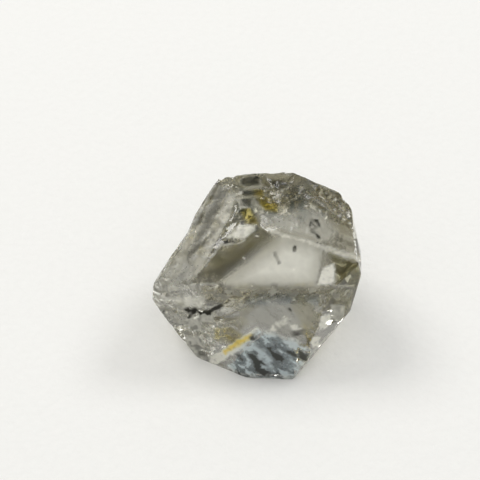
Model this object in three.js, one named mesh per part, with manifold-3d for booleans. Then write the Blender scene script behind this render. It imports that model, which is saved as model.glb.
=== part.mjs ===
// A rough, broken topaz crystal: one clear stone with flat faces, shell-shaped breaks and stepped edges.
// It stands on a flat break, +Z is up and its front faces -Y.

import * as THREE from 'three';
import { mergeVertices } from 'three/addons/utils/BufferGeometryUtils.js';
import Module from 'manifold-3d';

// Driving dimensions. The width is in millimetres. Every other size and place is in hundredths of the width,
// near enough, and the whole crystal is scaled to its width at the end.
const WIDTH_MM = 21.1;
const HEART_HEIGHT = 32.4;
const BLOCK = 160;

// A face lies square to a line from the crystal's heart, at its distance. Its bearing is the compass bearing
// of that line (0 is the front, 90 the right side) and its lean is how far the line leans over (0 is straight
// up, 90 is level, 180 straight down).
const FACES = {
  window: { bearing: 6, lean: 29, distance: 20.1 },
  upperLeft: { bearing: -33.5, lean: 19.5, distance: 25 },
  upperMiddle: { bearing: -2.5, lean: 16.5, distance: 23.5 },
  upperRight: { bearing: 25, lean: 17.5, distance: 23.3 },
  brightBevel: { bearing: 21, lean: 19, distance: 22.8 },
  front: { bearing: 3.5, lean: 57, distance: 22.3 },
  frontLeft: { bearing: -6, lean: 72, distance: 26.1 },
  frontRight: { bearing: 5.5, lean: 62, distance: 23.8 },
  toe: { bearing: -2.5, lean: 75.5, distance: 26.9 },
  rightStrip: { bearing: 35.5, lean: 75.5, distance: 35.3 },
  rightUnder: { bearing: 55, lean: 111, distance: 43.5 },
  rightSide: { bearing: 80.5, lean: 101.5, distance: 44.8 },
  rightPoint: { bearing: 90.5, lean: 76, distance: 47.4 },
  rightTop: { bearing: 150.5, lean: 56, distance: 49.8 },
  backTop: { bearing: -172.5, lean: 69.5, distance: 42.4 },
  back: { bearing: -161.5, lean: 106, distance: 44.8 },
  backRight: { bearing: 131.5, lean: 94, distance: 43.6 },
  backLeft: { bearing: -139, lean: 112, distance: 35.5 },
  backUnder: { bearing: -160, lean: 128, distance: 47.8 },
  leftBack: { bearing: -125.5, lean: 87.5, distance: 35 },
  leftTop: { bearing: -111.5, lean: 66.5, distance: 40 },
  leftPoint: { bearing: -96, lean: 85.5, distance: 47.7 },
  leftShoulder: { bearing: -27, lean: 86.5, distance: 32.7 },
  leftSide: { bearing: -63.5, lean: 112, distance: 47.8 },
  underLeft: { bearing: -76, lean: 124, distance: 46.6 },
  base: { bearing: 0, lean: 180, distance: HEART_HEIGHT },
};

const wasm = await Module();
wasm.setup();

// A small repeatable random source, so the crystal comes out the same every time.
function randomSource(seed) {
  const multiplier = 16807;
  const modulus = 2147483647;
  let state = seed * multiplier;
  return (low, high) => {
    state = (state * multiplier) % modulus;
    return low + (state / modulus) * (high - low);
  };
}

// Joins the corners that lie in one place.
function weld(geometry) {
  geometry.deleteAttribute('normal');
  geometry.deleteAttribute('uv');
  return mergeVertices(geometry, 1e-4);
}

// Moves every corner of a geometry to the place that a function gives for it.
function reshape(geometry, moved) {
  const welded = weld(geometry);
  const corners = welded.attributes.position;
  const corner = new THREE.Vector3();
  for (let index = 0; index < corners.count; index += 1) {
    moved(corner.fromBufferAttribute(corners, index));
    corners.setXYZ(index, corner.x, corner.y, corner.z);
  }
  return welded;
}

// Turns a closed geometry, moved by a matrix, into a solid that can be cut and joined.
function solid(geometry, matrix) {
  const welded = weld(geometry.clone().applyMatrix4(matrix));
  return new wasm.Manifold(new wasm.Mesh({
    numProp: 3,
    vertProperties: new Float32Array(welded.attributes.position.array),
    triVerts: new Uint32Array(welded.index.array),
  }));
}

// The outward direction of a face.
function outward(face) {
  const bearing = THREE.MathUtils.degToRad(face.bearing);
  const lean = THREE.MathUtils.degToRad(face.lean);
  return new THREE.Vector3(
    Math.sin(lean) * Math.sin(bearing),
    -Math.sin(lean) * Math.cos(bearing),
    Math.cos(lean),
  );
}

// A frame on a face: x runs level across it, y runs up it, z points out of it.
// The frame is moved across and up from the foot of the heart's line, and turned about z.
function onFace(face, across = 0, up = 0, turn = 0) {
  const bearing = THREE.MathUtils.degToRad(face.bearing);
  const z = outward(face);
  const x = new THREE.Vector3(Math.cos(bearing), Math.sin(bearing), 0);
  const y = new THREE.Vector3().crossVectors(z, x);
  const place = new THREE.Vector3(0, 0, HEART_HEIGHT)
    .addScaledVector(z, face.distance)
    .addScaledVector(x, across)
    .addScaledVector(y, up);
  return new THREE.Matrix4()
    .makeBasis(x, y, z)
    .setPosition(place)
    .multiply(new THREE.Matrix4().makeRotationZ(THREE.MathUtils.degToRad(turn)));
}

// The block outside one face.
function beyondFace(face) {
  const block = new THREE.BoxGeometry(BLOCK * 2, BLOCK * 2, BLOCK);
  block.translate(0, 0, BLOCK / 2);
  return solid(block, onFace(face));
}

// The plain block with all its flat faces.
function facetedBody() {
  let body = solid(new THREE.BoxGeometry(BLOCK, BLOCK, BLOCK), new THREE.Matrix4());
  for (const face of Object.values(FACES)) {
    body = body.subtract(beyondFace(face));
  }
  return body;
}

// A long pointed groove of V section, lying in a face.
function groove(face, { across, up, turn, length, width, depth }) {
  const needle = new THREE.OctahedronGeometry(1, 0);
  needle.scale(length / 2, width / 2, depth);
  return solid(needle, onFace(face, across, up, turn));
}

// A step: a tread that slopes down to a steep riser, with a ragged line, thinning out at both ends.
function step(face, { across, up, turn, length, run, drop, random }) {
  const profile = new THREE.Shape();
  profile.moveTo(0, 0);
  profile.lineTo(run, -drop);
  profile.lineTo(run + drop * 0.5, drop);
  profile.lineTo(-run * 0.2, drop);
  const wedge = new THREE.ExtrudeGeometry(profile, { depth: length, steps: 7, bevelEnabled: false });
  wedge.translate(0, 0, -length / 2);
  const ragged = reshape(wedge, (corner) => {
    const reach = corner.z / (length / 2);
    const fullness = 1.08 * (1 - reach ** 4) - 0.08;
    if (corner.y < 0) {
      corner.y *= fullness * random(0.75, 1.15);
    }
    corner.x = corner.x * (0.35 + 0.65 * fullness) + run * random(-0.12, 0.12);
    corner.z += length * random(-0.03, 0.03);
  });
  ragged.rotateX(Math.PI / 2);
  return solid(ragged, onFace(face, across, up, turn));
}

// A shell-shaped break: a shallow dish with an uneven rim, and waves that spread from a point near one end.
function shell(face, { across, up, turn, length, width, depth, waves, ripple, random }) {
  const bands = waves + 3;
  const sides = 12 + waves * 2;
  const profile = [new THREE.Vector2(0, -1)];
  for (let band = 1; band <= bands; band += 1) {
    const reach = band / bands;
    profile.push(new THREE.Vector2(reach, reach * reach - 1));
  }
  profile.push(new THREE.Vector2(1.05, 0.6));
  profile.push(new THREE.Vector2(0, 0.6));
  const dish = new THREE.LatheGeometry(profile, sides);
  dish.rotateX(Math.PI / 2);
  const lobes = [2, 3, 5].map((count) => ({ count, size: random(0.04, 0.1), start: random(0, 6.28) }));
  const uneven = reshape(dish, (corner) => {
    const reach = Math.hypot(corner.x, corner.y);
    const way = Math.atan2(corner.y, corner.x);
    const fromEnd = Math.hypot(corner.x + 0.9, corner.y);
    const wave = Math.sin(fromEnd * waves * Math.PI);
    let rim = 1;
    for (const lobe of lobes) {
      rim += lobe.size * Math.sin(lobe.count * way + lobe.start) * reach;
    }
    corner.x *= rim;
    corner.y *= rim;
    corner.z = corner.z * depth + (corner.z < 0 ? ripple * (wave + random(-0.4, 0.4)) : 0);
  });
  uneven.scale(length / 2, width / 2, 1);
  return solid(uneven, onFace(face, across, up, turn));
}

// A flat-sided chip of uneven shape, knocked out of an edge or a face.
function chip(face, { across, up, turn, length, width, height, random }) {
  const stone = reshape(new THREE.IcosahedronGeometry(1, 0), (corner) => {
    corner.x += random(-0.2, 0.2);
    corner.y += random(-0.2, 0.2);
    corner.z += random(-0.2, 0.2);
  });
  stone.scale(length / 2, width / 2, height / 2);
  return solid(stone, onFace(face, across, up, turn));
}

// Chips of mixed sizes knocked out along a line on a face.
function chipsAlong(face, { from, to, count, size, seed }) {
  const random = randomSource(seed);
  const chips = [];
  for (let index = 0; index < count; index += 1) {
    const share = (index + random(0.1, 0.9)) / count;
    const length = size * random(0.4, 1.6);
    chips.push(chip(face, {
      across: THREE.MathUtils.lerp(from[0], to[0], share),
      up: THREE.MathUtils.lerp(from[1], to[1], share) + random(-0.15, 0.15) * size,
      turn: random(-30, 30),
      length,
      width: length * random(0.4, 0.8),
      height: length * random(0.3, 0.6),
      random,
    }));
  }
  return chips;
}

// Small pits scattered over a patch of a face.
function pitsOver(face, { across, up, length, width, count, size, seed }) {
  const random = randomSource(seed);
  const pits = [];
  for (let index = 0; index < count; index += 1) {
    const reach = Math.sqrt(random(0, 1));
    const way = random(0, 2 * Math.PI);
    pits.push(groove(face, {
      across: across + Math.cos(way) * reach * length / 2,
      up: up + Math.sin(way) * reach * width / 2,
      turn: random(0, 360),
      length: size * random(0.8, 2.4),
      width: size * random(0.5, 1.4),
      depth: size * random(0.15, 0.4),
    }));
  }
  return pits;
}

// Long streaks worn into the upper left face, side by side and nearly parallel.
function leftStreaks() {
  const random = randomSource(11);
  const count = 18;
  const grooves = [];
  for (let index = 0; index < count; index += 1) {
    const share = index / (count - 1);
    grooves.push(groove(FACES.upperLeft, {
      across: THREE.MathUtils.lerp(-31, -13, share) + random(-0.4, 0.4),
      up: THREE.MathUtils.lerp(-2, 12, share) + random(-6, 6),
      turn: random(76, 83),
      length: random(16, 40),
      width: random(1.2, 3),
      depth: random(0.5, 1.3),
    }));
  }
  return grooves;
}

// Broken steps between the upper left face and the window.
function windowSteps() {
  const random = randomSource(19);
  return [
    step(FACES.upperLeft, { across: -18.5, up: -10.5, turn: 149, length: 26, run: 3.4, drop: 1.2, random }),
    step(FACES.upperLeft, { across: -18.5, up: -7.5, turn: 143, length: 18, run: 2.2, drop: 1, random }),
    step(FACES.upperMiddle, { across: -11, up: 7, turn: 292, length: 17, run: 4, drop: 1.4, random }),
    step(FACES.upperMiddle, { across: -6, up: 11, turn: 300, length: 15, run: 3.4, drop: 1.1, random }),
  ];
}

// Shell-shaped breaks and hollows on the upper faces and along the top edge.
function topBreaks() {
  const random = randomSource(23);
  return [
    shell(FACES.upperRight, {
      across: 21, up: 9.5, turn: -24, length: 44, width: 21, depth: 2.2, waves: 6, ripple: 0.16, random,
    }),
    shell(FACES.upperMiddle, {
      across: -3, up: 33, turn: 6, length: 26, width: 11, depth: 1.7, waves: 3, ripple: 0.2, random,
    }),
    shell(FACES.upperRight, {
      across: 24, up: 27, turn: 28, length: 26, width: 11, depth: 1.6, waves: 3, ripple: 0.2, random,
    }),
    shell(FACES.upperRight, {
      across: 41, up: 13, turn: -58, length: 26, width: 10, depth: 1.7, waves: 3, ripple: 0.2, random,
    }),
    shell(FACES.upperLeft, {
      across: -26.5, up: -20, turn: 21, length: 17, width: 10, depth: 1.4, waves: 3, ripple: 0.25, random,
    }),
    shell(FACES.leftTop, {
      across: 12, up: 1, turn: -32, length: 34, width: 13, depth: 2, waves: 3, ripple: 0.2, random,
    }),
    shell(FACES.upperMiddle, {
      across: -2, up: 19, turn: 50, length: 18, width: 8, depth: 1, waves: 2, ripple: 0.15, random,
    }),
    chip(FACES.upperRight, { across: 38, up: 26, turn: -20, length: 9, width: 6, height: 3, random }),
    chip(FACES.upperMiddle, { across: 13, up: 38, turn: 10, length: 11, width: 4, height: 3, random }),
    chip(FACES.upperLeft, { across: -28, up: 24, turn: 50, length: 8, width: 4, height: 3, random }),
    chip(FACES.upperLeft, { across: -34, up: -20, turn: 80, length: 6, width: 4, height: 3.4, random }),
  ];
}

// Steps, cracks and ledges on the lower left, where the crystal has broken in layers.
function leftLayers() {
  const random = randomSource(29);
  const high = FACES.leftShoulder;
  const low = FACES.frontLeft;
  return [
    step(high, { across: -16.5, up: 4, turn: 286, length: 36, run: 7, drop: 2.4, random }),
    step(high, { across: -11, up: -1, turn: 300, length: 24, run: 3.4, drop: 1.4, random }),
    step(high, { across: -31, up: -5, turn: 278, length: 14, run: 5, drop: 2, random }),
    step(high, { across: -26, up: -14, turn: 308, length: 20, run: 5, drop: 1.8, random }),
    step(high, { across: -20, up: -23, turn: 314, length: 16, run: 4, drop: 1.3, random }),
    step(low, { across: -14, up: -4, turn: 294, length: 34, run: 4.5, drop: 1.2, random }),
    step(low, { across: -18, up: -10, turn: 284, length: 22, run: 3.4, drop: 0.9, random }),
    groove(high, { across: -10.7, up: 0.8, turn: 34, length: 15, width: 1.8, depth: 2.6 }),
    groove(high, { across: -18, up: -3.6, turn: 70, length: 6, width: 2.4, depth: 3 }),
    groove(high, { across: -32.2, up: -7.7, turn: 16, length: 5, width: 1.4, depth: 2.6 }),
    chip(high, { across: -12.6, up: -30.5, turn: 44, length: 5, width: 3, height: 4, random }),
  ];
}

// Fine straight lines running down the toe and the front right face.
function frontLines() {
  const random = randomSource(37);
  const lines = [];
  for (let index = 0; index < 9; index += 1) {
    lines.push(groove(FACES.toe, {
      across: 3 + index * 2.1 + random(-0.4, 0.4),
      up: -23 - index * 0.5 + random(-4, 4),
      turn: -52 + random(-2, 2),
      length: random(7, 16),
      width: random(0.7, 1.4),
      depth: random(0.3, 0.6),
    }));
  }
  for (let index = 0; index < 7; index += 1) {
    lines.push(groove(FACES.frontRight, {
      across: 9 + index * 2.2,
      up: -7 - index * 0.5 + random(-2, 2),
      turn: -42 + random(-2, 2),
      length: random(5, 10),
      width: random(0.6, 1.2),
      depth: random(0.3, 0.6),
    }));
  }
  return lines;
}

// Marks on the window: a straight scratch, a few nicks and the low step near its right end.
function windowMarks() {
  const random = randomSource(31);
  const face = FACES.window;
  return [
    groove(face, { across: 2.6, up: 0.2, turn: -68, length: 17, width: 0.6, depth: 0.2 }),
    groove(face, { across: 9.2, up: 3.2, turn: -55, length: 7, width: 0.9, depth: 0.4 }),
    groove(face, { across: 14.7, up: -3.2, turn: -60, length: 4, width: 0.9, depth: 0.5 }),
    chip(face, { across: 16.2, up: 6.6, turn: 60, length: 2.4, width: 1.6, height: 1.4, random }),
    step(face, { across: 29, up: -4, turn: 190, length: 24, run: 3, drop: 0.6, random }),
  ];
}

// Steps and hollows on the strip down the right and on the right side.
function rightBreaks() {
  const random = randomSource(41);
  return [
    step(FACES.rightStrip, { across: 13.8, up: -7, turn: 252, length: 18, run: 3, drop: 1, random }),
    step(FACES.rightStrip, { across: 16.2, up: -14, turn: 247, length: 14, run: 3, drop: 1, random }),
    shell(FACES.rightSide, {
      across: 12, up: 6, turn: 15, length: 22, width: 14, depth: 1.6, waves: 2, ripple: 0.2, random,
    }),
    shell(FACES.rightPoint, {
      across: 4, up: 3, turn: 20, length: 22, width: 11, depth: 1.4, waves: 2, ripple: 0.2, random,
    }),
    step(FACES.rightUnder, { across: -4, up: -4, turn: 300, length: 20, run: 5, drop: 1.3, random }),
  ];
}

// Breaks round the back, which are like those in front.
function backBreaks() {
  const random = randomSource(53);
  return [
    shell(FACES.backRight, {
      across: -2, up: 9, turn: -18, length: 38, width: 26, depth: 2.4, waves: 4, ripple: 0.2, random,
    }),
    shell(FACES.backLeft, {
      across: -9, up: -3, turn: 12, length: 36, width: 20, depth: 2.2, waves: 3, ripple: 0.2, random,
    }),
    shell(FACES.backTop, {
      across: -14, up: 4, turn: 62, length: 24, width: 13, depth: 1.6, waves: 2, ripple: 0.2, random,
    }),
    shell(FACES.leftBack, {
      across: 2, up: 9, turn: 42, length: 32, width: 18, depth: 2, waves: 3, ripple: 0.2, random,
    }),
    step(FACES.backRight, { across: 8, up: -6, turn: 280, length: 34, run: 8, drop: 1.8, random }),
    step(FACES.backRight, { across: 0, up: -16, turn: 264, length: 26, run: 6, drop: 1.6, random }),
    step(FACES.backTop, { across: 0, up: -2, turn: 238, length: 28, run: 5, drop: 1.4, random }),
    step(FACES.backLeft, { across: 12, up: -10, turn: 300, length: 24, run: 5, drop: 1.5, random }),
    step(FACES.leftBack, { across: 18, up: -6, turn: 228, length: 28, run: 5, drop: 1.4, random }),
    step(FACES.leftBack, { across: 23, up: -11, turn: 224, length: 18, run: 4, drop: 1.2, random }),
  ];
}

// Chips along the ridges, and pits on the frosted patches.
function smallChips() {
  return [
    ...chipsAlong(FACES.front, { from: [-32, 1.2], to: [40, 0.6], count: 18, size: 3.2, seed: 71 }),
    ...chipsAlong(FACES.frontRight, { from: [27, -5], to: [20, -26], count: 8, size: 2.2, seed: 79 }),
    ...chipsAlong(FACES.upperRight, { from: [8, 27], to: [44, 16], count: 12, size: 3, seed: 83 }),
    ...chipsAlong(FACES.upperLeft, { from: [-30, 18], to: [-34, -16], count: 10, size: 2.6, seed: 89 }),
    ...chipsAlong(FACES.leftShoulder, { from: [-36, -8], to: [-14, -32], count: 10, size: 2.6, seed: 97 }),
    ...chipsAlong(FACES.backTop, { from: [-19, 19], to: [14, 18], count: 9, size: 3.6, seed: 99 }),
    ...pitsOver(FACES.front, {
      across: 4, up: -4, length: 60, width: 6, count: 18, size: 1.5, seed: 101,
    }),
    ...pitsOver(FACES.leftShoulder, {
      across: -17.5, up: -6, length: 30, width: 18, count: 20, size: 1.7, seed: 103,
    }),
    ...pitsOver(FACES.upperRight, {
      across: 34, up: 16, length: 26, width: 10, count: 12, size: 1.5, seed: 109,
    }),
    ...pitsOver(FACES.rightStrip, {
      across: 20, up: -6, length: 12, width: 10, count: 8, size: 1.3, seed: 113,
    }),
  ];
}

// The whole crystal: the faceted block with its breaks, steps and chips cut out.
function crystalBody() {
  const cuts = [
    ...topBreaks(),
    ...leftStreaks(),
    ...windowSteps(),
    ...leftLayers(),
    ...frontLines(),
    ...windowMarks(),
    ...rightBreaks(),
    ...backBreaks(),
    ...smallChips(),
  ];
  let body = facetedBody();
  for (const piece of cuts) {
    body = body.subtract(piece);
  }
  return body;
}

// The crystal's mesh, in millimetres, with its origin under its middle, on the base.
function crystalMesh(body) {
  const { vertProperties, triVerts } = body.getMesh();
  const geometry = new THREE.BufferGeometry();
  geometry.setAttribute('position', new THREE.BufferAttribute(new Float32Array(vertProperties), 3));
  geometry.setIndex(new THREE.BufferAttribute(new Uint32Array(triVerts), 1));
  geometry.computeBoundingBox();
  const scale = WIDTH_MM / (geometry.boundingBox.max.x - geometry.boundingBox.min.x);
  geometry.scale(scale, scale, scale);
  geometry.computeBoundingBox();
  const middle = geometry.boundingBox.getCenter(new THREE.Vector3());
  geometry.translate(-middle.x, -middle.y, -geometry.boundingBox.min.z);
  const material = new THREE.MeshStandardMaterial({
    color: 0xb9bab0,
    roughness: 0.12,
    metalness: 0,
    transparent: true,
    opacity: 0.6,
    flatShading: true,
  });
  const mesh = new THREE.Mesh(geometry, material);
  mesh.name = 'topaz_crystal';
  return mesh;
}

const crystal = new THREE.Group();
crystal.add(crystalMesh(crystalBody()));

export default crystal;
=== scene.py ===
"""Looks for the rough topaz crystal: its refined clear body, its inclusions, the paper, the lights and the camera."""

import math

import bmesh
import bpy
import numpy as np
from mathutils import Euler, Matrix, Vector, noise
from mathutils.bvhtree import BVHTree


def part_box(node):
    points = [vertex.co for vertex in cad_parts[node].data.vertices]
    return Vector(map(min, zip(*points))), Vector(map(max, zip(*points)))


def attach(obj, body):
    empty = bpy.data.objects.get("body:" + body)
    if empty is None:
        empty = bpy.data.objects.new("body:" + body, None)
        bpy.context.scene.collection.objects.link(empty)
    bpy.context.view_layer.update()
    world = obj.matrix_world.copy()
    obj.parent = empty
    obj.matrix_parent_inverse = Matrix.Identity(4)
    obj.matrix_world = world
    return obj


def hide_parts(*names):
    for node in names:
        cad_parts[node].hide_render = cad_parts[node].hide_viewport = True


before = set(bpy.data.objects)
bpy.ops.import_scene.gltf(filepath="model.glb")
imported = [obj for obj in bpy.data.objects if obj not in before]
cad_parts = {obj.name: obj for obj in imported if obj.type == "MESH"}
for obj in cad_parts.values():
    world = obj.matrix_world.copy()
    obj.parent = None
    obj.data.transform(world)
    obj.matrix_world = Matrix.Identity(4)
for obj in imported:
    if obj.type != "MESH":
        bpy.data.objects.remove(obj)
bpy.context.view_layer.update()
NODE = "topaz_crystal"
LOW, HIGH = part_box(NODE)
MODELLED_WIDTH_MM = 21.1
MM = (HIGH.x - LOW.x) / MODELLED_WIDTH_MM
MIDDLE = (LOW + HIGH) / 2

# The camera stands where the photographer stood: in front and well above, with a long lens.
PHOTO_PIXELS = 480
VIEW_RISE = math.radians(48)
VIEW_DISTANCE = 130 * MM
LENS_MM = 100
SENSOR_MM = 36
AIM = Vector((MIDDLE.x - 1.76 * MM, MIDDLE.y - 1.49 * MM, LOW.z + 12.1 * MM))
FORWARD = Vector((0, math.cos(VIEW_RISE), -math.sin(VIEW_RISE)))
UPWARD = Vector((0, math.sin(VIEW_RISE), math.cos(VIEW_RISE)))
RIGHTWARD = Vector((1, 0, 0))
CAMERA_PLACE = AIM - FORWARD * VIEW_DISTANCE
FOCAL_PIXELS = PHOTO_PIXELS * LENS_MM / SENSOR_MM

# The mesh is rebuilt with corners about this far apart.
GRAIN = 0.125 * MM
SHARP_ANGLE = math.radians(24)
ROUNDED_ANGLE = math.radians(20)
ROUNDING_PASSES = 8
REFRACTION = 1.62
# The edges of the bruises and painted highlights wander by so many pixels.
RAGGEDNESS = 1.8

# The room is dim, so that the crystal mirrors little but the paper and the lights.
LIGHT_DISTANCE = 750 * MM
SKY_LOW = 0.13
SKY_HIGH = 0.32
PAPER_SKY = 0.52
FRONT_SKY = 0.38

# The inner veils are skins of this thickness, built on grids of so many pixels.
VEIL_THICKNESS = 0.03 * MM
VEIL_STEP = 0.6
FILM_STEP = 0.8

# Parts of the surface, outlined on the photograph in its pixels.
STREAKED = [(213, 182), (236, 192), (232, 215), (222, 234), (206, 262), (192, 280), (165, 284), (158, 272),
            (165, 256), (185, 238), (200, 206)]
STREAKS_UPPER = [(213, 182), (236, 192), (232, 215), (222, 234), (206, 258), (188, 256), (185, 238), (200, 206)]
LEFT_LUMPS = [(162, 256), (190, 254), (196, 268), (186, 286), (158, 290), (150, 300), (150, 282)]
RIM = [(262, 176), (297, 172), (322, 184), (350, 202), (353, 236), (340, 232), (325, 212), (300, 203),
       (284, 214), (268, 205)]
TOP_LEFT = [(205, 190), (215, 178), (262, 174), (268, 205), (256, 222), (236, 200)]
BAND = [(148, 282), (200, 286), (262, 284), (352, 287), (352, 300), (300, 297), (258, 302), (205, 322),
        (180, 324), (146, 304)]
LEFT_FOOT = [(146, 296), (182, 318), (206, 324), (232, 326), (238, 338), (214, 352), (207, 366), (186, 356),
             (160, 326)]
BOWL = [(266, 224), (284, 212), (302, 204), (326, 212), (342, 232), (358, 252), (330, 246), (296, 238)]
WINDOW_DARK = [(190, 283), (203, 262), (222, 246), (262, 230), (286, 240), (264, 262), (240, 284)]
LEFT_TIP = [(142, 274), (160, 280), (170, 296), (162, 308), (142, 306)]
SHELL_END = [(258, 213), (276, 214), (302, 216), (302, 228), (276, 228), (262, 226)]
FRONT = [(232, 306), (262, 298), (320, 300), (318, 330), (300, 344), (262, 328), (240, 336)]
TOE = [(258, 330), (296, 340), (312, 350), (296, 378), (240, 376), (225, 366)]

# Whitish places on the surface, partly bruises and partly painted highlights and painted reflections of light inside
# the stone: their outline, how white they are, and how soft their edge is in pixels.
BEVEL = [(262, 226), (276, 229), (300, 238), (333, 247), (358, 254), (366, 262), (340, 257), (300, 243), (272, 234)]
CRUMBS = [(172, 298), (190, 296), (206, 299), (202, 308), (188, 308), (177, 305)]
BRUISES_AND_HIGHLIGHTS = [
    (BEVEL, 0.5, 4),
    ([(320, 316), (330, 313), (332, 318), (328, 327), (319, 331)], 0.95, 2.5),
    ([(313, 337), (321, 336), (319, 346), (313, 348), (310, 342)], 0.95, 2.5),
    ([(317, 284), (320, 272), (326, 266), (335, 263), (335, 274), (333, 285)], 0.95, 3),
    ([(225, 237), (232, 231), (240, 225), (254, 225), (254, 230), (245, 239), (235, 238)], 0.75, 4),
    (CRUMBS, 0.6, 5),
    ([(194, 241), (204, 222), (220, 205), (227, 205), (214, 226), (199, 243)], 0.3, 6),
    ([(225, 198), (231, 196), (231, 206), (226, 208)], 0.35, 4),
    ([(203, 361), (232, 343), (257, 327), (261, 332), (240, 351), (212, 367)], 1, 2),
    ([(289, 325), (297, 325), (304, 330), (301, 333), (292, 330)], 1, 2.5),
    ([(266, 331), (276, 322), (290, 317), (288, 324), (274, 334)], 0.8, 4),
    ([(250, 357), (262, 353), (275, 360), (276, 370), (256, 371)], 0.6, 5),
]
# Places that crumbs have made quite dull.
DULLED = [
    [(184, 336), (202, 336), (206, 360), (198, 363), (188, 352)],
    [(176, 305), (188, 305), (189, 313), (178, 311)],
    [(198, 313), (212, 312), (213, 322), (199, 322)],
    [(186, 318), (201, 317), (202, 331), (188, 331)],
    [(331, 305), (345, 306), (342, 322), (332, 318)],
]
# Smooth whitish haze in the clear places, given in the same way: partly frosting, and in the window painted light, as
# bright as the paper seen through it.
HAZES_AND_PAINTED_LIGHT = [
    ([(230, 284), (262, 254), (283, 239), (300, 243), (322, 252), (315, 285)], 0.85, 26),
    ([(270, 224), (286, 212), (305, 206), (324, 214), (336, 232), (330, 244), (300, 236)], 0.33, 12),
    (BEVEL, 0.3, 6),
    (FRONT, 0.3, 14),
]
# Painted highlight lines along ridges, steps and the foot's edge, and pale scratches: their pixels, how white they
# are, and half their width.
BRIGHT_LINES = [
    ([(206, 363), (222, 370), (240, 375), (262, 378), (294, 378)], 0.6, 0.8),
    ([(294, 378), (299, 368), (312, 353), (330, 334)], 0.5, 0.8),
    ([(190, 285), (220, 283), (262, 284), (318, 286), (354, 286)], 0.35, 0.9),
    ([(152, 288), (170, 290), (196, 287)], 0.4, 1.0),
    ([(206, 318), (224, 311), (244, 305), (263, 297)], 0.4, 1.0),
    ([(208, 325), (226, 323), (245, 319)], 0.3, 0.8),
    ([(222, 245), (238, 243), (246, 240)], 0.5, 0.7),
    ([(206, 265), (214, 255), (221, 246)], 0.4, 0.6),
    ([(258, 248), (266, 264), (275, 280)], 0.2, 0.6),
    ([(273, 255), (279, 266)], 0.5, 0.7),
    ([(292, 267), (296, 272)], 0.9, 0.9),
    ([(197, 240), (210, 218), (222, 203)], 0.3, 1.2),
    ([(190, 243), (200, 224)], 0.3, 0.8),
    ([(208, 243), (222, 222), (230, 208)], 0.3, 1.2),
    ([(262, 304), (275, 315)], 0.4, 0.6),
    ([(267, 300), (282, 313)], 0.4, 0.6),
    ([(286, 320), (297, 330)], 0.5, 0.8),
    ([(281, 341), (297, 355)], 0.6, 0.6),
    ([(276, 345), (294, 362)], 0.5, 0.6),
    ([(272, 352), (290, 369)], 0.5, 0.6),
    ([(296, 338), (306, 350)], 0.4, 0.6),
    ([(268, 331), (284, 338)], 0.5, 1.2),
]
# Dark cracks, and painted shade lines standing in for shadows and dark reflections along edges and steps: their
# pixels, how dark they are, and half their width.
DARK_LINES = [
    ([(310, 225), (312, 220), (317, 221), (319, 225)], 1, 1.3),
    ([(313, 224), (316, 227), (313, 230)], 1, 0.9),
    ([(312, 230), (316, 234), (319, 237)], 1, 1.5),
    ([(303, 219), (306, 225)], 0.7, 0.5),
    ([(295, 219), (296, 221)], 0.6, 0.5),
    ([(295, 247), (294, 251)], 0.9, 1.1),
    ([(275, 253), (279, 263)], 0.6, 1.2),
    ([(324, 251), (322, 266), (317, 283)], 0.6, 0.8),
    ([(207, 313), (215, 309), (222, 305)], 1.3, 1.4),
    ([(196, 310), (201, 314), (206, 311), (210, 314)], 1.2, 1.0),
    ([(186, 309), (190, 312), (195, 309), (192, 314)], 1.3, 1.5),
    ([(193, 313), (189, 318)], 1.2, 1.3),
    ([(159, 257), (153, 270), (151, 286)], 0.7, 1.1),
    ([(167, 256), (161, 268), (158, 284)], 0.6, 0.9),
    ([(176, 262), (171, 272), (168, 284)], 0.5, 0.9),
    ([(183, 264), (186, 274), (181, 284)], 0.5, 0.8),
    ([(152, 290), (158, 300), (170, 308)], 0.6, 1.0),
    ([(196, 258), (190, 270), (188, 282)], 0.6, 1.0),
    ([(196, 348), (208, 360)], 0.6, 1.4),
    ([(160, 308), (166, 307)], 0.8, 0.8),
    ([(258, 303), (276, 319)], 0.6, 0.5),
    ([(263, 302), (270, 308)], 0.5, 0.4),
    ([(289, 308), (291, 311)], 0.9, 0.9),
    ([(219, 246), (210, 258), (206, 266)], 0.6, 0.6),
    ([(214, 240), (222, 243)], 0.5, 1.2),
    ([(170, 277), (171, 283)], 0.6, 0.8),
    ([(178, 279), (180, 284)], 0.6, 0.8),
    ([(199, 353), (203, 357)], 0.7, 1.2),
    ([(172, 318), (176, 325)], 0.6, 0.8),
    ([(293, 334), (304, 332)], 0.8, 2.2),
    ([(256, 344), (268, 352), (280, 366)], 0.5, 1.6),
    ([(276, 350), (286, 362), (290, 372)], 0.5, 1.4),
]
GOLD = [(222, 352), (236, 341), (252, 334), (250, 338), (238, 346), (225, 355)]
# Painted glints: small white flecks of painted highlight at these pixels.
SPARKLES = [
    (306, 206), (320, 211), (326, 218), (336, 199), (344, 219), (350, 223), (267, 213), (257, 236), (244, 258),
    (180, 282), (176, 264), (186, 299), (172, 295), (201, 285), (252, 286), (196, 320), (187, 327), (275, 318),
    (284, 317), (294, 300), (286, 377),
]


def make_camera():
    data = bpy.data.cameras.new("camera")
    data.lens = LENS_MM
    data.sensor_width = SENSOR_MM
    data.clip_start = 0.01 * VIEW_DISTANCE
    data.clip_end = 100 * VIEW_DISTANCE
    camera = bpy.data.objects.new("camera", data)
    bpy.context.scene.collection.objects.link(camera)
    camera.location = CAMERA_PLACE
    camera.rotation_euler = Euler((math.pi / 2 - VIEW_RISE, 0, 0))
    bpy.context.scene.camera = camera
    return camera


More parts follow.
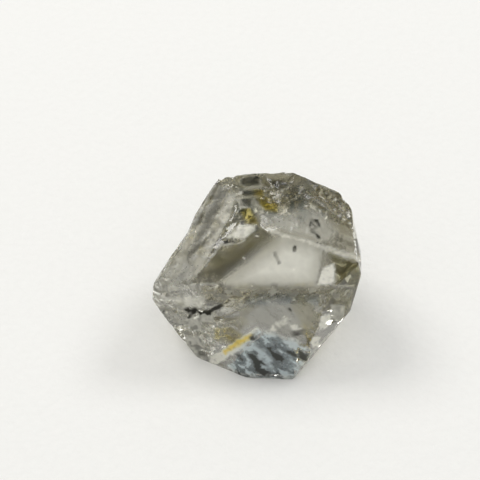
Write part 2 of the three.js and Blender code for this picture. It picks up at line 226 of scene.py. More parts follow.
def seen_at(points):
    """Where points show in the photograph, in its pixels."""
    offset = points - np.array(CAMERA_PLACE)
    depth = offset @ np.array(FORWARD)
    across = offset @ np.array(RIGHTWARD) / depth
    up = offset @ np.array(UPWARD) / depth
    return PHOTO_PIXELS / 2 + FOCAL_PIXELS * np.stack([across, -up], axis=1)


def sight(pixel):
    """The direction in which the camera sees a pixel."""
    across = (pixel[0] - PHOTO_PIXELS / 2) / FOCAL_PIXELS
    up = (PHOTO_PIXELS / 2 - pixel[1]) / FOCAL_PIXELS
    return (FORWARD + RIGHTWARD * across + UPWARD * up).normalized()


def within(outline, places, soft):
    """1 inside an outline, 0 outside it, with an edge that fades over so many pixels."""
    inside = np.zeros(len(places), bool)
    nearest = np.full(len(places), np.inf)
    corners = np.array(outline, float)
    for start, end in zip(corners, np.roll(corners, -1, axis=0)):
        edge = end - start
        if edge[1] != 0:
            level = start[0] + edge[0] * (places[:, 1] - start[1]) / edge[1]
            spans = (start[1] > places[:, 1]) != (end[1] > places[:, 1])
            inside ^= spans & (places[:, 0] < level)
        share = np.clip((places - start) @ edge / (edge @ edge), 0, 1)
        gap = np.linalg.norm(places - start - share[:, None] * edge, axis=1)
        nearest = np.minimum(nearest, gap)
    return np.clip(0.5 + np.where(inside, nearest, -nearest) / soft, 0, 1)


def near_line(line, places, width):
    """1 on a line through some pixels, fading to 0 at twice its half width from it."""
    nearest = np.full(len(places), np.inf)
    for start, end in zip(np.array(line[:-1], float), np.array(line[1:], float)):
        edge = end - start
        share = np.clip((places - start) @ edge / (edge @ edge), 0, 1)
        nearest = np.minimum(nearest, np.linalg.norm(places - start - share[:, None] * edge, axis=1))
    return np.clip(2 - nearest / width, 0, 1)


def new_object(name, mesh, material):
    piece = bpy.data.objects.new(name, mesh)
    bpy.context.scene.collection.objects.link(piece)
    mesh.materials.clear()
    mesh.materials.append(material)
    return piece


def cad_shape():
    """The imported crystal's mesh with its corners joined, and a tree to find places on it."""
    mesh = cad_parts[NODE].data.copy()
    shape = bmesh.new()
    shape.from_mesh(mesh)
    bmesh.ops.remove_doubles(shape, verts=shape.verts, dist=1e-4 * MM)
    bmesh.ops.recalc_face_normals(shape, faces=shape.faces)
    shape.to_mesh(mesh)
    tree = BVHTree.FromBMesh(shape)
    shape.free()
    return mesh, tree


def refined_mesh(mesh, tree):
    """The same shape with evenly small faces: rebuilt on a fine grid, then laid back on the surface."""
    source = bpy.data.objects.new("source", mesh)
    bpy.context.scene.collection.objects.link(source)
    remesh = source.modifiers.new("fine", "REMESH")
    remesh.mode = "VOXEL"
    remesh.voxel_size = GRAIN
    remesh.adaptivity = 0
    evaluated = source.evaluated_get(bpy.context.evaluated_depsgraph_get())
    fine = bpy.data.meshes.new_from_object(evaluated)
    bpy.data.objects.remove(source)
    for corner in fine.vertices:
        corner.co = tree.find_nearest(corner.co)[0]
    return fine


def round_facets(mesh):
    """Turns the small flat facets of the breaks into smooth curves, and leaves the true edges as they are."""
    ends = np.empty(len(mesh.edges) * 2, int)
    mesh.edges.foreach_get("vertices", ends)
    ends = ends.reshape(-1, 2)
    ends = np.concatenate([ends, ends[:, ::-1]])
    for _ in range(ROUNDING_PASSES):
        points, normals = mesh_arrays(mesh)
        alike = (normals[ends[:, 0]] * normals[ends[:, 1]]).sum(axis=1) > math.cos(ROUNDED_ANGLE)
        here, there = ends[alike].T
        count = np.bincount(here, minlength=len(points))
        sums = [np.bincount(here, weights=points[there, axis], minlength=len(points)) for axis in range(3)]
        means = np.stack(sums, axis=1) / np.maximum(count, 1)[:, None]
        offset = np.where(count[:, None] > 0, means - points, 0)
        points += 0.6 * normals * (offset * normals).sum(axis=1)[:, None]
        mesh.vertices.foreach_set("co", points.ravel())
        mesh.update()


def grain_field(points, size, seed, along=None, stretch=1.0, octaves=3):
    """Smooth noise from about -1 to 1 at each point. Its lumps are so large, and longer along one direction."""
    places = points / size
    if along is not None:
        line = np.array(along)
        shift = (places @ line)[:, None] * line
        places = places - shift * (1 - 1 / stretch)
    places = places + seed * 17.3
    return np.array([noise.fractal(Vector(place), 0.8, 2.1, octaves) for place in places])


def blocky_field(points, size, seed, along=None, stretch=1.0):
    """Noise in flat plates with sharp steps between them."""
    soft = grain_field(points, size, seed, along, stretch, 2)
    return np.floor(soft * 4) / 4


def spot(tree, pixel):
    """The place on the crystal that a pixel shows, and which way its surface faces."""
    place, normal, _, _ = tree.ray_cast(CAMERA_PLACE, sight(pixel))
    return place, normal


def line_on(tree, start, end):
    """The direction on the surface from one pixel to another."""
    return (spot(tree, end)[0] - spot(tree, start)[0]).normalized()


def mesh_arrays(mesh):
    count = len(mesh.vertices)
    points = np.empty(count * 3)
    normals = np.empty(count * 3)
    mesh.vertices.foreach_get("co", points)
    mesh.vertices.foreach_get("normal", normals)
    return points.reshape(-1, 3), normals.reshape(-1, 3)


def weather(mesh, tree):
    """Presses the fine relief into the surface, and marks how frosted each place is."""
    points, normals = mesh_arrays(mesh)
    places = seen_at(points)
    to_camera = np.array(CAMERA_PLACE) - points
    faces_camera = np.clip((normals * to_camera).sum(axis=1) / np.linalg.norm(to_camera, axis=1) * 6 + 0.5, 0, 1)
    above_base = np.clip((points[:, 2] - LOW.z) / (0.5 * MM), 0, 1)

    def part(outline, soft=7):
        return within(outline, places, soft) * faces_camera

    streaked = part(STREAKED)
    lumps = part(LEFT_LUMPS)
    rim = part(RIM)
    top_left = part(TOP_LEFT)
    band = part(BAND, 5)
    foot = part(LEFT_FOOT)
    bowl = part(BOWL)
    toe = part(TOE)
    front = part(FRONT, 10)
    left_tip = part(LEFT_TIP)
    shell_end = part(SHELL_END, 4)
    window_dark = part(WINDOW_DARK, 6)
    hidden = np.clip(grain_field(points, 6 * MM, 3) * 3, 0, 1) * (1 - faces_camera)

    streak_line = line_on(tree, (196, 250), (218, 206))
    rim_line = line_on(tree, (300, 190), (338, 206))
    band_line = line_on(tree, (165, 300), (235, 292))
    toe_line = line_on(tree, (262, 345), (290, 372))

    streaks = 0.5 + 0.5 * grain_field(points, 1.2 * MM, 2, streak_line, 12, 2)
    lumpy = 0.5 + 0.5 * grain_field(points, 1.3 * MM, 5, octaves=2)
    rim_grain = 0.5 + 0.5 * grain_field(points, 0.8 * MM, 7, rim_line, 4, 2)
    crumbs = 0.5 + 0.5 * grain_field(points, 0.6 * MM, 11, octaves=2)
    fine_crumbs = np.clip(grain_field(points, 0.38 * MM, 19, octaves=2), 0, 1)
    layers = 0.5 + 0.5 * blocky_field(points, 0.7 * MM, 9, band_line, 3)

    depth = 0.01 * MM * (1 + grain_field(points, 3.2 * MM, 1, octaves=2))
    depth += streaked * 0.05 * MM * streaks
    depth += lumps * 0.12 * MM * crumbs
    depth += rim * 0.07 * MM * rim_grain
    depth += top_left * 0.04 * MM * lumpy
    depth += band * 0.05 * MM * layers + np.maximum(band, foot) * 0.05 * MM * fine_crumbs
    depth += foot * 0.04 * MM * crumbs
    fine_lines = 0.5 + 0.5 * grain_field(points, 0.35 * MM, 13, toe_line, 9, 2)
    depth += np.maximum(toe, front) * 0.02 * MM * fine_lines
    depth += hidden * 0.03 * MM * crumbs

    knobbly = np.clip(grain_field(points, 1.5 * MM, 37, octaves=2) * 1.6, 0, 1)
    depth += np.maximum.reduce([lumps, rim, left_tip, streaked, foot]) * 0.28 * MM * knobbly

    ring_middle = np.array(spot(tree, (262, 221))[0])
    from_middle = np.linalg.norm(points - ring_middle, axis=1)
    depth += bowl * 0.012 * MM * (1 + np.sin(from_middle / (0.08 * MM)))

    points -= normals * (np.clip(depth, 0, None) * above_base)[:, None]
    mesh.vertices.foreach_set("co", points.ravel())
    mesh.update()

    frost = streaked * (0.6 + 0.6 * streaks) + lumps * 0.4 * lumpy + rim * (0.3 + 0.6 * rim_grain)
    frost += top_left * 0.7 * lumpy + band * (0.15 + 0.7 * crumbs) + foot * 0.8 * (0.4 + crumbs)
    frost += left_tip * 0.8 + shell_end * 0.6
    frost += window_dark * 0.4 + front * 0.3 * fine_lines + bowl * 0.3
    frost += hidden * above_base * 0.5 * crumbs
    mark(mesh, "frost", frost)

    # The toe's mottling is painted light and shade: pale and dark patches standing in for what the toe reflects.
    mottle = grain_field(points, 0.85 * MM, 23, toe_line, 2.2, 4) * toe
    band_grain = grain_field(points, 0.5 * MM, 41, band_line, 3)
    wander = [grain_field(points, 0.55 * MM, seed, octaves=3) for seed in (29, 31)]
    ragged = places + RAGGEDNESS * np.stack(wander, axis=1)
    slightly_ragged = (places + ragged) / 2
    # A pale diffuse layer mixed into the surface: some whitish bruising, and painted highlights and painted
    # reflections.
    bruise_and_painted_light = np.zeros(len(points))
    for outline, whiteness, soft in BRUISES_AND_HIGHLIGHTS:
        bruise_and_painted_light = np.maximum(bruise_and_painted_light, whiteness * within(outline, ragged, soft) * faces_camera)
    bruise_and_painted_light *= 0.6 + 0.9 * (0.5 + 0.5 * grain_field(points, 0.45 * MM, 17, octaves=3))
    # Painted sheen: pale streaks over the streaked face.
    bruise_and_painted_light = np.maximum(bruise_and_painted_light, streaked * np.clip(streaks * 3 - 1.6, 0, 1) * 0.5)
    dulled = np.maximum.reduce([part(outline, 3) for outline in DULLED])
    bruise_and_painted_light = np.maximum(bruise_and_painted_light, dulled)
    # Painted highlights along the toe's fine lines, and the toe's painted pale mottling.
    bruise_and_painted_light = np.maximum(bruise_and_painted_light, toe * np.clip(fine_lines * 2.2 - 1.1, 0, 1) * 0.7)
    bruise_and_painted_light = np.maximum(bruise_and_painted_light, np.clip(mottle * 4 - 0.3, 0, 0.9))
    bruise_and_painted_light = np.maximum(bruise_and_painted_light, band * np.clip(band_grain * 2 - 0.4, 0, 0.4))
    # Painted light: haze that brightens the clear window, the bevel and the front.
    for outline, whiteness, soft in HAZES_AND_PAINTED_LIGHT:
        bruise_and_painted_light = np.maximum(bruise_and_painted_light, whiteness * part(outline, soft) * (0.92 + 0.16 * crumbs))
    # Painted highlights along edges, and pale scratches.
    for line, whiteness, width in BRIGHT_LINES:
        bruise_and_painted_light = np.maximum(bruise_and_painted_light, whiteness * near_line(line, slightly_ragged, width) * faces_camera * (0.4 + 0.9 * crumbs))
    # Painted glints, each a short white fleck.
    for pixel in SPARKLES:
        slant = pixel[0] * pixel[1]
        long_way = np.array([math.cos(slant), math.sin(slant)])
        offset = places - np.array(pixel)
        cross_way = np.array([-math.sin(slant), math.cos(slant)])
        gap = np.hypot(offset @ long_way * 0.6, offset @ cross_way * 1.4)
        bruise_and_painted_light = np.maximum(bruise_and_painted_light, np.clip(1.5 - gap, 0, 0.9) * faces_camera)
    # Dark grit in the crumbs, and painted shade: dark streaks, the toe's dark mottling, and lines standing in for
    # shadows and dark reflections.
    grit_and_shade = np.zeros(len(points))
    for line, darkness, width in DARK_LINES:
        grit_and_shade = np.maximum(grit_and_shade, darkness * near_line(line, slightly_ragged, width) * faces_camera * (0.5 + 0.8 * crumbs))
    grit_and_shade = np.maximum(grit_and_shade, np.clip(-mottle * 4 - 0.2, 0, 0.95))
    grit_and_shade = np.maximum(grit_and_shade, np.clip(np.maximum(foot, left_tip) * (1.6 * crumbs - 0.4), 0, 0.7))
    grit_and_shade = np.maximum(grit_and_shade, band * np.clip(-band_grain * 2 - 0.2, 0, 0.6))
    grit_and_shade = np.maximum(grit_and_shade, front * np.clip(1.0 - fine_lines * 2.6, 0, 0.45))
    grit_and_shade = np.maximum(grit_and_shade, shell_end * 0.35)
    # Painted shade: dark streaks between the pale ones.
    grit_and_shade = np.maximum(grit_and_shade, streaked * np.clip(1.5 - streaks * 3, 0, 0.75))
    grit_and_shade = np.maximum(grit_and_shade, dulled * (0.15 + 0.5 * crumbs))
    grit_and_shade *= 1 - 0.8 * part(CRUMBS, 5)
    mark(mesh, "grit_and_shade", grit_and_shade)
    mark(mesh, "bruise_and_painted_light", np.maximum(bruise_and_painted_light, grit_and_shade))
    mark(mesh, "gold", within(GOLD, ragged, 3))
    mark(mesh, "cold", toe)


def mark(mesh, name, amount):
    """Keeps a number from 0 to 1 at each corner, for the material to read."""
    layer = mesh.attributes.new(name, "FLOAT", "POINT")
    layer.data.foreach_set("value", np.clip(amount, 0, 1).astype(np.float32))


def add_node(material, kind, **values):
    node = material.node_tree.nodes.new(kind)
    for name, value in values.items():
        setattr(node, name, value)
    return node


def crystal_material():
    material = bpy.data.materials.new("clear_crystal")
    material.use_nodes = True
    nodes = material.node_tree.nodes
    links = material.node_tree.links
    surface = nodes["Principled BSDF"]
    surface.inputs["IOR"].default_value = REFRACTION
    surface.inputs["Transmission Weight"].default_value = 1

    frost = add_node(material, "ShaderNodeAttribute", attribute_name="frost")
    place = add_node(material, "ShaderNodeTexCoord")
    speckle = add_node(material, "ShaderNodeTexNoise")
    speckle.inputs["Scale"].default_value = 3.5 / MM
    speckle.inputs["Detail"].default_value = 4
    links.new(place.outputs["Object"], speckle.inputs["Vector"])
    spread = add_node(material, "ShaderNodeMapRange")
    spread.inputs["From Min"].default_value = 0.25
    spread.inputs["From Max"].default_value = 0.7
    spread.inputs["To Min"].default_value = 0.4
    links.new(speckle.outputs["Fac"], spread.inputs["Value"])
    product = add_node(material, "ShaderNodeMath", operation="MULTIPLY")
    links.new(frost.outputs["Fac"], product.inputs[0])
    links.new(spread.outputs["Result"], product.inputs[1])
    rough = add_node(material, "ShaderNodeMapRange")
    rough.inputs["To Min"].default_value = 0.012
    rough.inputs["To Max"].default_value = 0.5
    links.new(product.outputs["Value"], rough.inputs["Value"])
    links.new(rough.outputs["Result"], surface.inputs["Roughness"])

    bump = add_node(material, "ShaderNodeBump")
    bump.inputs["Distance"].default_value = 0.06 * MM
    links.new(frost.outputs["Fac"], bump.inputs["Strength"])
    links.new(speckle.outputs["Fac"], bump.inputs["Height"])
    links.new(bump.outputs["Normal"], surface.inputs["Normal"])

    tint = add_node(material, "ShaderNodeMix", data_type="RGBA")
    tint.inputs[6].default_value = (0.99, 0.99, 0.98, 1)
    tint.inputs[7].default_value = (0.90, 0.89, 0.84, 1)
    links.new(product.outputs["Value"], tint.inputs[0])
    links.new(tint.outputs[2], surface.inputs["Base Color"])

    # The pale layer: whitish bruises and grit, and painted highlights and painted shade standing in for light inside
    # the stone.
    bruised = nodes.new("ShaderNodeBsdfPrincipled")
    bruised.inputs["Roughness"].default_value = 0.5
    seen_through = nodes.new("ShaderNodeBsdfTranslucent")
    lit = nodes.new("ShaderNodeMixShader")
    lit.inputs[0].default_value = 0.4
    links.new(bruised.outputs["BSDF"], lit.inputs[1])
    links.new(seen_through.outputs["BSDF"], lit.inputs[2])
    gold = add_node(material, "ShaderNodeAttribute", attribute_name="gold")
    color = add_node(material, "ShaderNodeMix", data_type="RGBA")
    color.inputs[7].default_value = (1, 0.80, 0.20, 1)
    links.new(gold.outputs["Fac"], color.inputs[0])
    # Grit and painted shade darken the pale layer.
    grit_and_shade = add_node(material, "ShaderNodeAttribute", attribute_name="grit_and_shade")
    darkened = add_node(material, "ShaderNodeMix", data_type="RGBA")
    darkened.inputs[7].default_value = (0.035, 0.033, 0.022, 1)
    links.new(grit_and_shade.outputs["Fac"], darkened.inputs[0])
    cold = add_node(material, "ShaderNodeAttribute", attribute_name="cold")
    cooled = add_node(material, "ShaderNodeMix", data_type="RGBA")
    cooled.inputs[6].default_value = (1, 0.99, 0.89, 1)
    cooled.inputs[7].default_value = (0.80, 0.89, 0.91, 1)
    links.new(cold.outputs["Fac"], cooled.inputs[0])
    links.new(cooled.outputs[2], color.inputs[6])
    links.new(color.outputs[2], darkened.inputs[6])
    links.new(darkened.outputs[2], bruised.inputs["Base Color"])
    links.new(darkened.outputs[2], seen_through.inputs["Color"])
    bruise_and_painted_light = add_node(material, "ShaderNodeAttribute", attribute_name="bruise_and_painted_light")
    both = nodes.new("ShaderNodeMixShader")
    links.new(bruise_and_painted_light.outputs["Fac"], both.inputs[0])
    links.new(surface.outputs["BSDF"], both.inputs[1])
    links.new(lit.outputs["Shader"], both.inputs[2])
    links.new(both.outputs["Shader"], nodes["Material Output"].inputs["Surface"])

    absorption = nodes.new("ShaderNodeVolumeAbsorption")
    absorption.inputs["Color"].default_value = (0.80, 0.78, 0.68, 1)
    absorption.inputs["Density"].default_value = 45
    links.new(absorption.outputs["Volume"], nodes["Material Output"].inputs["Volume"])
    return material


def make_crystal():
    """The crystal's clear body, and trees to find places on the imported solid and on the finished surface."""
    mesh, solid_tree = cad_shape()
    fine = refined_mesh(mesh, solid_tree)
    round_facets(fine)
    weather(fine, solid_tree)
    fine.polygons.foreach_set("use_smooth", [True] * len(fine.polygons))
    fine.set_sharp_from_angle(angle=SHARP_ANGLE)
    piece = new_object("clear_crystal", fine, crystal_material())
    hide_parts(NODE)
    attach(piece, "root")
    corners = [corner.co for corner in fine.vertices]
    surface_tree = BVHTree.FromPolygons(corners, [face.vertices for face in fine.polygons])
    return solid_tree, surface_tree


def bent(way, normal):
    """The way that light goes on inside the crystal."""
    slant = -way.dot(normal)
    sideways = (way + normal * slant) / REFRACTION
    return sideways - normal * math.sqrt(1 - sideways.length_squared)


def is_inside(tree, place):
    """Whether a place lies inside the solid, clear of its skin."""
    nearest, normal, _, _ = tree.find_nearest(place)
    return (place - nearest).dot(normal) < -2 * VEIL_THICKNESS


def veil_material(name, light, dark, patch):
    """A broken inner skin that scatters light, blotched in two colours. The black and slate ones carry painted shade.
    """
    material = bpy.data.materials.new(name)
    material.use_nodes = True
    links = material.node_tree.links
    surface = material.node_tree.nodes["Principled BSDF"]
    surface.inputs["Roughness"].default_value = 0.45
    place = add_node(material, "ShaderNodeTexCoord")
    blotches = add_node(material, "ShaderNodeTexNoise")
    blotches.inputs["Scale"].default_value = 1 / (patch * MM)
    blotches.inputs["Detail"].default_value = 3
    links.new(place.outputs["Object"], blotches.inputs["Vector"])
    ramp = add_node(material, "ShaderNodeValToRGB")
    ramp.color_ramp.elements[0].position = 0.35
    ramp.color_ramp.elements[0].color = (*dark, 1)
    ramp.color_ramp.elements[1].position = 0.62
    ramp.color_ramp.elements[1].color = (*light, 1)
    links.new(blotches.outputs["Fac"], ramp.inputs["Fac"])
    links.new(ramp.outputs["Color"], surface.inputs["Base Color"])
    return material


def film_material(name, tint):
    """A thin tinted film that darkens what shows through it, most where its strength is full: painted shade where its
    tint is grey, brown, olive or blue, and a stain where it is ochre.
    """
    material = bpy.data.materials.new(name)
    material.use_nodes = True
    nodes = material.node_tree.nodes
    links = material.node_tree.links
    nodes.remove(nodes["Principled BSDF"])
    strength = add_node(material, "ShaderNodeAttribute", attribute_name="strength")
    place = add_node(material, "ShaderNodeTexCoord")
    cloud = add_node(material, "ShaderNodeTexNoise")
    cloud.inputs["Scale"].default_value = 0.7 / MM
    links.new(place.outputs["Object"], cloud.inputs["Vector"])
    uneven = add_node(material, "ShaderNodeMapRange")
    uneven.inputs["From Min"].default_value = 0.3
    uneven.inputs["From Max"].default_value = 0.6
    uneven.inputs["To Min"].default_value = 0.5
    links.new(cloud.outputs["Fac"], uneven.inputs["Value"])
    amount = add_node(material, "ShaderNodeMath", operation="MULTIPLY")
    links.new(strength.outputs["Fac"], amount.inputs[0])
    links.new(uneven.outputs["Result"], amount.inputs[1])
    color = add_node(material, "ShaderNodeMix", data_type="RGBA")
    color.inputs[6].default_value = (1, 1, 1, 1)
    color.inputs[7].default_value = (*tint, 1)
    links.new(amount.outputs["Value"], color.inputs[0])
    clear = nodes.new("ShaderNodeBsdfTransparent")
    links.new(color.outputs[2], clear.inputs["Color"])
    links.new(clear.outputs["BSDF"], nodes["Material Output"].inputs["Surface"])
    return material


def inner_skin(trees, name, outline, material, depth, soft, spacing, strength_at):
    """A thin closed skin inside the crystal, that shows within an outline on the photograph.
    It lies so many millimetres under the surface. Its strength at a pixel comes from a function of the pixel and
    of how far inside the outline that lies, and it is left open where the strength is 0."""
    solid_tree, surface_tree = trees
    corners = np.array(outline, float)
    way = bent(sight(corners.mean(axis=0)), spot(solid_tree, corners.mean(axis=0))[1])
    low = np.floor(corners.min(axis=0))
    high = np.ceil(corners.max(axis=0))
    across = np.arange(low[0], high[0] + spacing, spacing)
    down = np.arange(low[1], high[1] + spacing, spacing)
    grid = np.stack(np.meshgrid(across, down), axis=-1)
    spread = within(outline, grid.reshape(-1, 2), soft).reshape(grid.shape[:2])
    shape = bmesh.new()
    layer = shape.verts.layers.float.new("strength")
    rows = []
    for row in range(len(down)):
        rows.append([])
        for column in range(len(across)):
            pixel = grid[row, column]
            strength = strength_at(pixel, spread[row, column]) if spread[row, column] > 0 else 0
            shift = noise.noise_vector(Vector((pixel[0], pixel[1], depth))) * spacing * 0.3
            hit = surface_tree.ray_cast(CAMERA_PLACE, sight((pixel[0] + shift[0], pixel[1] + shift[1])))[0]
            if strength > 0 and hit is not None:
                uneven = depth * (1 + 0.25 * noise.noise(Vector((pixel[1] / 6, pixel[0] / 6, 7))))
                pair = [hit + way * uneven * MM, hit + way * (uneven * MM + VEIL_THICKNESS)]
                if not all(is_inside(solid_tree, place) for place in pair):
                    rows[-1].append(None)
                    continue
                pair = [shape.verts.new(place) for place in pair]
                for corner in pair:
                    corner[layer] = strength
                rows[-1].append(pair)
            else:
                rows[-1].append(None)
    for row in range(len(down) - 1):
        for column in range(len(across) - 1):
            ring = [rows[row][column], rows[row][column + 1], rows[row + 1][column + 1], rows[row + 1][column]]
            if None in ring:
                continue
            tops = [pair[0] for pair in ring]
            bottoms = [pair[1] for pair in ring]
            shape.faces.new(reversed(tops))
            shape.faces.new(bottoms)
    close_rim(shape)
    mesh = bpy.data.meshes.new(name)
    shape.to_mesh(mesh)
    shape.free()
    piece = new_object(name, mesh, material)
    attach(piece, "root")
    return piece


def veil(trees, name, outline, material, depth, fill=0.8, grain=5.0, along=(1, 0), stretch=1.0):
    """A broken skin. It fills that share of the outline, in patches of so many pixels that may be longer along
    one direction on the photograph."""
    line = np.array(along, float)
    line /= np.linalg.norm(line)

    def strength_at(pixel, spread):
        place = (pixel - (pixel @ line) * line * (1 - 1 / stretch)) / grain
        amount = 0.5 + 0.5 * noise.fractal(Vector((place[0], place[1], depth * 3.1)), 0.8, 2.1, 2)
        return 1 if amount < fill * spread else 0

    return inner_skin(trees, name, outline, material, depth, 3, VEIL_STEP, strength_at)


def film(trees, name, outline, material, depth, soft):
    """An even skin that fades out toward the edge of its outline, over so many pixels."""
    return inner_skin(trees, name, outline, material, depth, soft, FILM_STEP, lambda pixel, spread: spread)


def close_rim(shape):
    """Joins the upper and the lower skin of a veil along their open edges."""
    bmesh.ops.delete(shape, geom=[corner for corner in shape.verts if not corner.link_faces], context="VERTS")
    shape.verts.index_update()
    shape.verts.ensure_lookup_table()
    partner = {}
    for corner in shape.verts:
        partner[corner.index] = corner.index + 1 if corner.index % 2 == 0 else corner.index - 1
    open_edges = [edge for edge in shape.edges if len(edge.link_faces) == 1 and edge.verts[0].index % 2 == 0]
    for edge in open_edges:
        first, second = edge.verts
        shape.faces.new((first, second, shape.verts[partner[second.index]], shape.verts[partner[first.index]]))
    bmesh.ops.recalc_face_normals(shape, faces=shape.faces)


def make_inclusions(trees):
    white = veil_material("white_veil", (0.97, 0.97, 0.94), (0.75, 0.75, 0.72), 0.4)
    black = veil_material("black_painted_shade", (0.05, 0.05, 0.045), (0.01, 0.01, 0.01), 0.4)
    slate = veil_material("slate_shade_veil", (0.42, 0.50, 0.53), (0.02, 0.04, 0.05), 1.1)
    shade_film = film_material("painted_shade_film", (0.78, 0.76, 0.66))
    olive = film_material("olive_painted_shade", (0.82, 0.81, 0.67))
    brown = film_material("brown_painted_shade", (0.82, 0.80, 0.72))
    ochre = film_material("ochre_film", (0.80, 0.72, 0.30))
    dark = film_material("dark_painted_shade", (0.42, 0.42, 0.38))
    blue = film_material("blue_grey_painted_shade", (0.70, 0.75, 0.80))

    # Painted shade: tinted films that darken the window, the rim, the streaks, the ridge and the corner, where the
    # clear stone shows dark reflections.
    film(trees, "painted_shade_window", [(192, 282), (204, 264), (222, 248), (262, 230), (300, 243), (262, 254),
         (236, 268), (214, 283)], shade_film, 0.7, 16)
    film(trees, "olive_painted_shade_right", [(325, 252), (344, 259), (362, 266), (356, 284), (338, 285), (336, 263)],
         olive, 0.5, 4)
    film(trees, "brown_painted_shade_rim", RIM, brown, 0.5, 8)
    film(trees, "painted_shade_streaks", STREAKS_UPPER, brown, 0.5, 10)
    film(trees, "brown_painted_shade_ridge", [(200, 287), (262, 284), (320, 287), (318, 297), (258, 301), (205, 304)],
         brown, 0.6, 6)
    film(trees, "blue_painted_shade_ridge", [(245, 298), (270, 293), (320, 294), (318, 304), (280, 303), (246, 307)],
         blue, 0.8, 6)
    film(trees, "painted_shade_corner", [(328, 288), (351, 288), (350, 304), (340, 316), (330, 308)], olive, 0.5, 5)

    film(trees, "ochre_film_high", [(256, 199), (266, 197), (278, 205), (277, 213), (265, 210)], ochre, 0.5, 3)
    film(trees, "ochre_film_low", [(241, 210), (250, 208), (255, 214), (258, 224), (245, 224)], ochre, 0.6, 3)
    film(trees, "ochre_film_small", [(253, 189), (264, 190), (263, 197), (253, 196)], ochre, 0.4, 3)
    film(trees, "ochre_film_toe", [(216, 328), (231, 328), (241, 335), (248, 337), (240, 345), (227, 341),
         (215, 338)], ochre, 0.7, 6)
    veil(trees, "pale_veil_high", [(258, 184), (272, 186), (290, 180), (292, 190), (276, 196), (262, 194)], white,
         0.5, 0.45, 3)
    # Painted shade: dark films and a dark veil for the dark bars, the knob, the streaks and the step.
    film(trees, "dark_painted_shade_high", [(240, 176), (260, 175), (259, 185), (241, 186)], dark, 0.4, 3)
    film(trees, "dark_painted_shade_low", [(242, 190), (258, 190), (251, 196), (242, 195)], dark, 0.4, 4)
    film(trees, "dark_painted_shade_small", [(240, 199), (251, 199), (250, 206), (241, 205)], dark, 0.4, 7)
    film(trees, "dark_painted_shade_knob", [(268, 180), (282, 178), (288, 186), (276, 190)], dark, 0.4, 5)
    film(trees, "dark_painted_shade_streak", [(199, 244), (206, 232), (214, 226), (212, 234), (203, 245)], dark, 0.4, 3)
    film(trees, "dark_painted_shade_streak_high", [(193, 224), (199, 214), (203, 214), (198, 226)], dark, 0.4, 3)
    veil(trees, "painted_shade_step", [(208, 250), (214, 240), (222, 236), (242, 239), (238, 245), (222, 245), (212, 256)],
         black, 0.5, 0.5, 2.5)
    # Painted light and shade at the toe: a blotched slate skin whose pale and dark patches stand in for what the toe
    # reflects.
    veil(trees, "slate_shade_veil_toe", [(230, 371), (238, 358), (249, 346), (262, 335), (274, 332), (290, 345), (298, 356),
         (293, 377), (262, 378), (240, 375)], slate, 0.7, 1.05, 6, (1, 0.8), 2.5)


def paper_material():
    material = bpy.data.materials.new("paper")
    material.use_nodes = True
    links = material.node_tree.links
    surface = material.node_tree.nodes["Principled BSDF"]
    surface.inputs["Roughness"].default_value = 0.9
    place = add_node(material, "ShaderNodeTexCoord")
    fibres = add_node(material, "ShaderNodeTexNoise")
    fibres.inputs["Scale"].default_value = 1.2 / MM
    fibres.inputs["Detail"].default_value = 5
    links.new(place.outputs["Object"], fibres.inputs["Vector"])
    color = add_node(material, "ShaderNodeMix", data_type="RGBA")
    color.inputs[6].default_value = (0.835, 0.83, 0.80, 1)
    color.inputs[7].default_value = (0.875, 0.87, 0.84, 1)
    links.new(fibres.outputs["Fac"], color.inputs[0])
    links.new(color.outputs[2], surface.inputs["Base Color"])
    bump = add_node(material, "ShaderNodeBump")
    bump.inputs["Strength"].default_value = 0.5
    bump.inputs["Distance"].default_value = 0.12 * MM
    links.new(fibres.outputs["Fac"], bump.inputs["Height"])
    links.new(bump.outputs["Normal"], surface.inputs["Normal"])
    return material


def make_floor():
    mesh = bpy.data.meshes.new("floor")
    half = 1.0
    level = LOW.z - 0.03 * MM
    mesh.from_pydata(
        [(-half, -half, level), (half, -half, level), (half, half, level), (-half, half, level)],
        [],
        [(0, 1, 2, 3)],
    )
    floor = new_object("floor", mesh, paper_material())
    return floor


def way_to(turn, rise):
    """The direction of a place so many degrees to the right of straight behind, and so many up."""
    turn = math.radians(turn)
    rise = math.radians(rise)
    return Vector((math.sin(turn) * math.cos(rise), math.cos(turn) * math.cos(rise), math.sin(rise)))


def make_light(name, way, radius, brightness, color):
    """A round soft light, with the brightness that its face shows."""
    data = bpy.data.lights.new(name, "AREA")
    data.shape = "DISK"
    data.size = 2 * radius * MM
    data.energy = brightness * math.pi * math.pi * (radius * MM) ** 2
    data.color = color
    light = bpy.data.objects.new(name, data)
    bpy.context.scene.collection.objects.link(light)
    light.location = MIDDLE + way * LIGHT_DISTANCE
    light.rotation_euler = (-way).to_track_quat("-Z", "Y").to_euler()
    return light


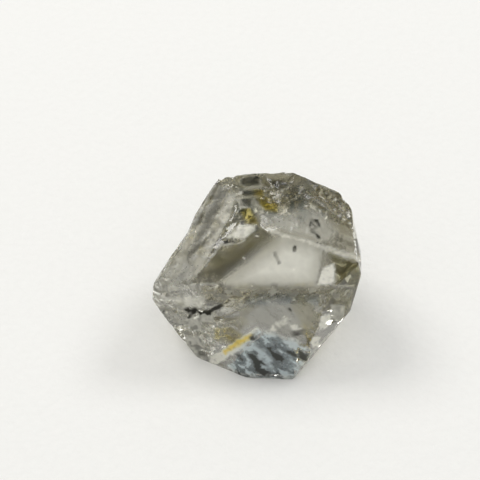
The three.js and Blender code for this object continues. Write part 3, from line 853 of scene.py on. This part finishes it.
def make_sky():
    """A dim even room that grows lighter toward one side. The paper is lit by a brighter one, from behind."""
    world = bpy.data.worlds.new("studio")
    world.use_nodes = True
    nodes = world.node_tree.nodes
    links = world.node_tree.links
    direction = nodes.new("ShaderNodeTexCoord")
    levels = []
    for way, side, low, high in ((way_to(-30, 25), 0, SKY_LOW, SKY_HIGH), (way_to(0, 80), 0.1, 0, PAPER_SKY),
                                 (way_to(180, 25), 0.1, 0, FRONT_SKY)):
        toward = nodes.new("ShaderNodeVectorMath")
        toward.operation = "DOT_PRODUCT"
        toward.inputs[1].default_value = way
        links.new(direction.outputs["Generated"], toward.inputs[0])
        level = nodes.new("ShaderNodeMapRange")
        level.inputs["From Min"].default_value = side
        level.inputs["To Min"].default_value = low
        level.inputs["To Max"].default_value = high
        links.new(toward.outputs["Value"], level.inputs["Value"])
        levels.append(level)
    path = nodes.new("ShaderNodeLightPath")
    after_paper = nodes.new("ShaderNodeMath")
    after_paper.operation = "MINIMUM"
    after_paper.inputs[1].default_value = 1
    links.new(path.outputs["Diffuse Depth"], after_paper.inputs[0])
    bright = nodes.new("ShaderNodeMath")
    links.new(levels[1].outputs["Result"], bright.inputs[0])
    links.new(levels[2].outputs["Result"], bright.inputs[1])
    total = nodes.new("ShaderNodeMath")
    total.operation = "MULTIPLY_ADD"
    links.new(after_paper.outputs["Value"], total.inputs[0])
    links.new(bright.outputs["Value"], total.inputs[1])
    links.new(levels[0].outputs["Result"], total.inputs[2])
    links.new(total.outputs["Value"], nodes["Background"].inputs["Strength"])
    nodes["Background"].inputs["Color"].default_value = (1, 1, 1, 1)
    bpy.context.scene.world = world


def make_studio():
    make_light("left_back", way_to(-50, 48), 176, 6.8, (1, 0.99, 0.97))
    make_light("right_back", way_to(59, 47), 141, 7, (0.97, 0.98, 1))
    make_sky()
    scene = bpy.context.scene
    scene.view_settings.view_transform = "Standard"
    scene.cycles.max_bounces = 24
    scene.cycles.transmission_bounces = 24
    scene.cycles.glossy_bounces = 12
    scene.cycles.transparent_max_bounces = 24


make_camera()
make_inclusions(make_crystal())
make_floor()
make_studio()
bpy.context.view_layer.update()
